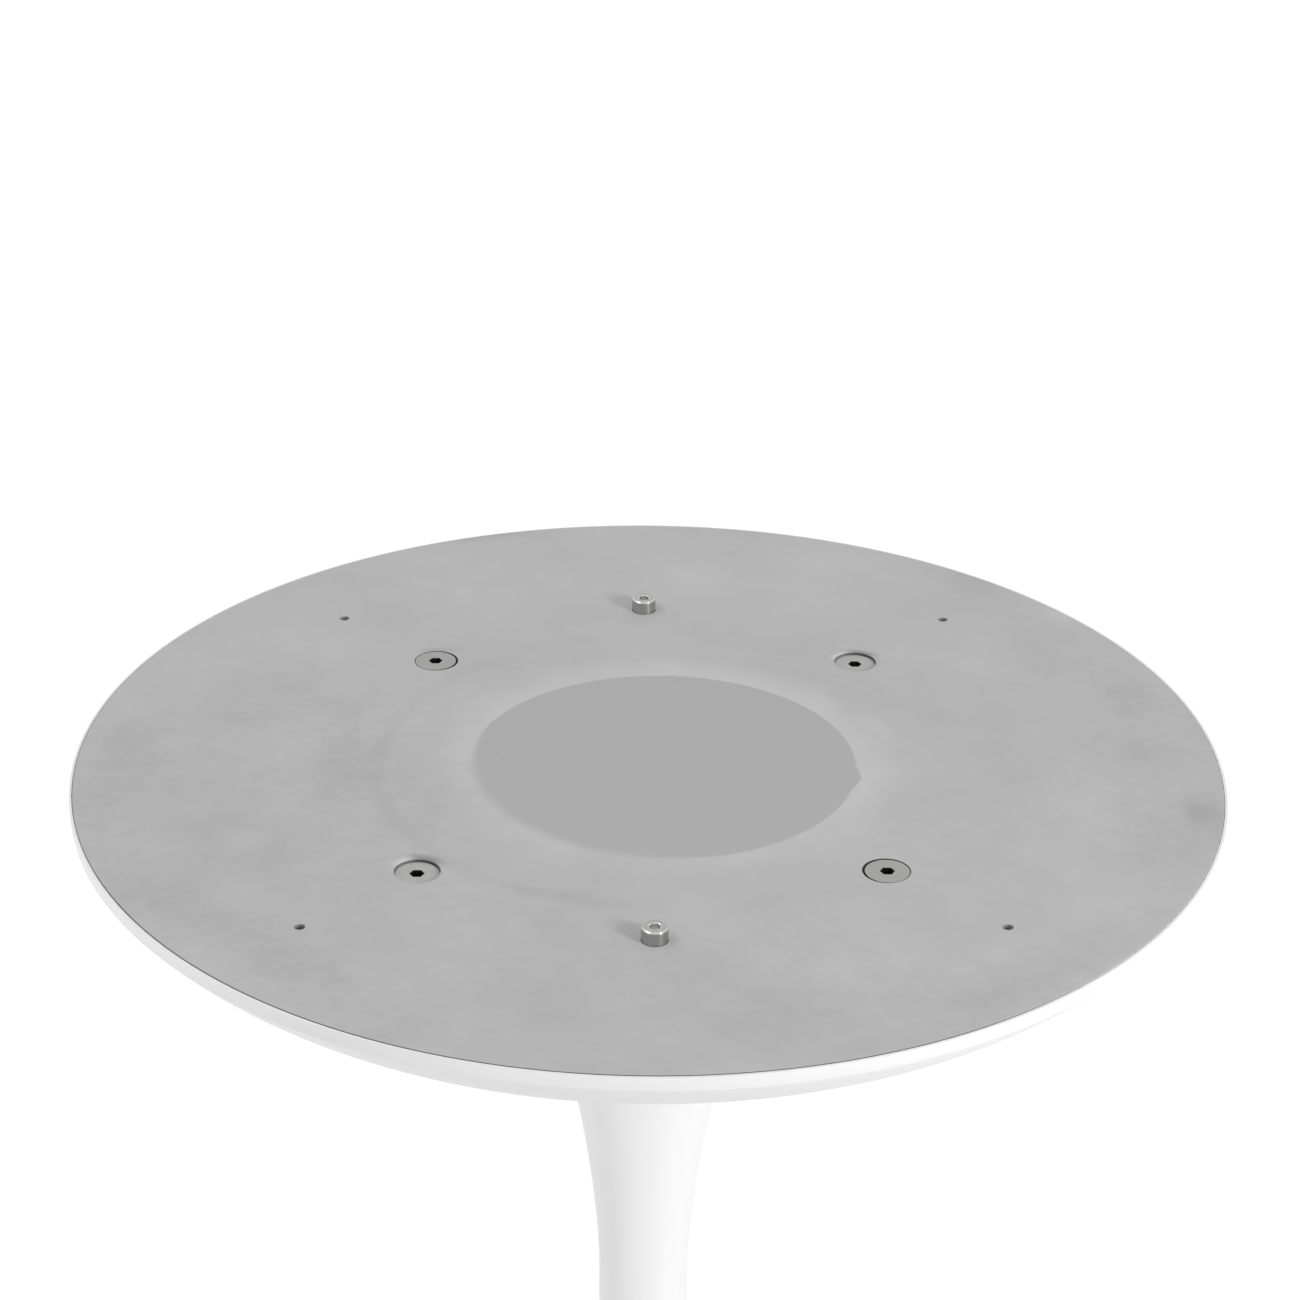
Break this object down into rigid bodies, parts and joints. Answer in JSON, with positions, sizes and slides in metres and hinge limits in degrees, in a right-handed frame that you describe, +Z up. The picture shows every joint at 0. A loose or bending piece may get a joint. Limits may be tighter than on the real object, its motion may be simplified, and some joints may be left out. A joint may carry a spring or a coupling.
{
  "type": "tulip table base",
  "caption": "Trumpet-shaped pedestal table base with a slender waist, a wide round foot and a flat steel plate let into its bell to take a table top.",
  "frame": {"origin": "on the floor, at the middle of the foot", "axes": "+Z up along the pedestal's axis, +Y along the line of the locating screws"},
  "size_m": [0.5, 0.5, 0.7057],
  "materials": {
    "white_coat": "satin white powder coat on cast aluminium",
    "ground_steel": "bare ground steel, dull grey, lightly mottled",
    "screw_steel": "plain turned steel",
    "black_rubber": "moulded black rubber"
  },
  "bodies": {
    "root": {"pedestal": "white_coat", "support_plate": "ground_steel", "plate_screws": "screw_steel", "locating_screws": "screw_steel", "floor_ring": "black_rubber"}
  },
  "joints": []
}
